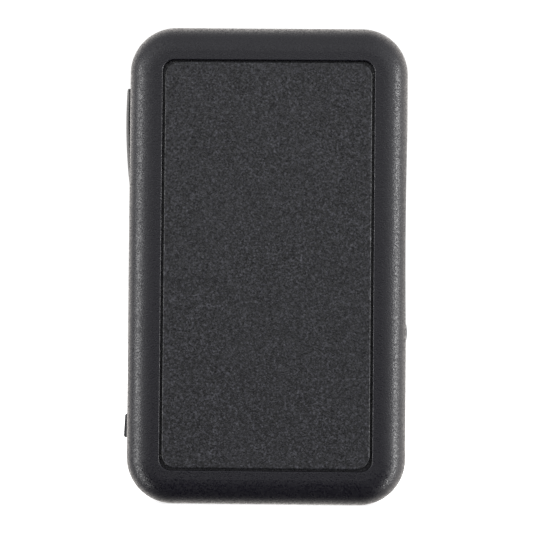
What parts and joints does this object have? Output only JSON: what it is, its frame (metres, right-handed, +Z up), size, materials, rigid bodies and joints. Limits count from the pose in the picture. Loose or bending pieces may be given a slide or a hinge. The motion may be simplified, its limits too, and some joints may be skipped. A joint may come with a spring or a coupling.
{
  "type": "geiger counter",
  "caption": "Pocket geiger counter: rounded two-shell case with an inset rear plate, display and keys on the front, a port flap and slide switch on one side, and a glass counting tube inside.",
  "frame": {"origin": "centre of the flat base, on the base plane", "axes": "+Z up the length of the case, +Y out of the back (rear plate), -Y out of the display, +X out of the side with the port flap and slide switch"},
  "size_m": [0.066, 0.0256, 0.1095],
  "materials": {
    "case_plastic": "fine spark-eroded texture",
    "plate_plastic": "coarse spark-eroded texture",
    "key_plastic": "smooth satin",
    "soft_rubber": "matte silicone",
    "window_clear": "polished, tinted",
    "clear_plastic": "polished",
    "display_grey": "polished",
    "white_plastic": "smooth",
    "black_plastic": "moulded",
    "steel": "bright",
    "brass": "bright",
    "copper": "enamelled wire",
    "board": "solder mask",
    "ceramic": "dipped ceramic",
    "ferrite": "sintered",
    "tube_glass": "clear",
    "foil": "laminated foil",
    "foam": "closed-cell foam",
    "film": "adhesive film",
    "red_wire": "wire insulation",
    "ribbon": "polyimide film"
  },
  "bodies": {
    "case": {"front_shell": "case_plastic", "rear_shell": "case_plastic", "rear_plate": "plate_plastic", "plate_adhesive": "film", "case_screws": "steel", "display_window": "window_clear", "window_gasket": "foam", "display_glass": "display_grey", "display_backlight": "white_plastic", "display_frame": "black_plastic", "display_ribbon": "ribbon", "key_switches": "steel", "light_pipe": "clear_plastic", "status_led": "white_plastic", "speaker_mesh": "black_plastic", "buzzer": "black_plastic", "main_board": "board", "board_passives": "ceramic", "microcontroller": "black_plastic", "clock_crystal": "steel", "power_chips": "black_plastic", "usb_port": "steel", "usb_tongue": "black_plastic", "audio_jack": "black_plastic", "power_switch": "steel", "side_switch": "steel", "tube_glass": "tube_glass", "tube_cathode": "steel", "tube_anode": "steel", "tube_caps": "steel", "tube_clips": "brass", "transformer_core": "ferrite", "transformer_coil": "copper", "hv_capacitors": "ceramic", "hv_diodes": "black_plastic", "anode_resistor": "ceramic", "battery_cell": "foil", "battery_pad": "foam", "battery_leads": "red_wire", "battery_plug": "white_plastic", "battery_socket": "white_plastic"},
    "flap": {"port_flap": "soft_rubber"},
    "slider": {"slider_knob": "key_plastic", "switch_lever": "black_plastic"},
    "menu": {"menu_key": "key_plastic", "menu_plunger": "black_plastic"},
    "select": {"select_key": "key_plastic", "select_plunger": "black_plastic"},
    "scroll": {"scroll_key": "key_plastic", "scroll_plunger": "black_plastic"},
    "side": {"side_key": "key_plastic", "side_plunger": "black_plastic"}
  },
  "joints": [
    {"name": "port_flap_hinge", "type": "hinge", "parent": "case", "child": "flap", "pos_m": [0.0314, -0.00085, 0.0727], "axis": [0, 1, 0], "range_deg": [0, 95]},
    {"name": "power_slide", "type": "slide", "parent": "case", "child": "slider", "axis": [0, 0, 1], "range_m": [0, 0.003]},
    {"name": "menu_press", "type": "slide", "parent": "case", "child": "menu", "axis": [0, 1, 0], "range_m": [0, 0.0004], "stiffness_N_per_m": 1000, "springref_m": -0.0002},
    {"name": "select_press", "type": "slide", "parent": "case", "child": "select", "axis": [0, 1, 0], "range_m": [0, 0.0004], "stiffness_N_per_m": 1000, "springref_m": -0.0002},
    {"name": "scroll_press", "type": "slide", "parent": "case", "child": "scroll", "axis": [0, 1, 0], "range_m": [0, 0.0004], "stiffness_N_per_m": 1000, "springref_m": -0.0002},
    {"name": "side_press", "type": "slide", "parent": "case", "child": "side", "axis": [1, 0, 0], "range_m": [0, 0.0003], "stiffness_N_per_m": 1000, "springref_m": -0.0002}
  ]
}
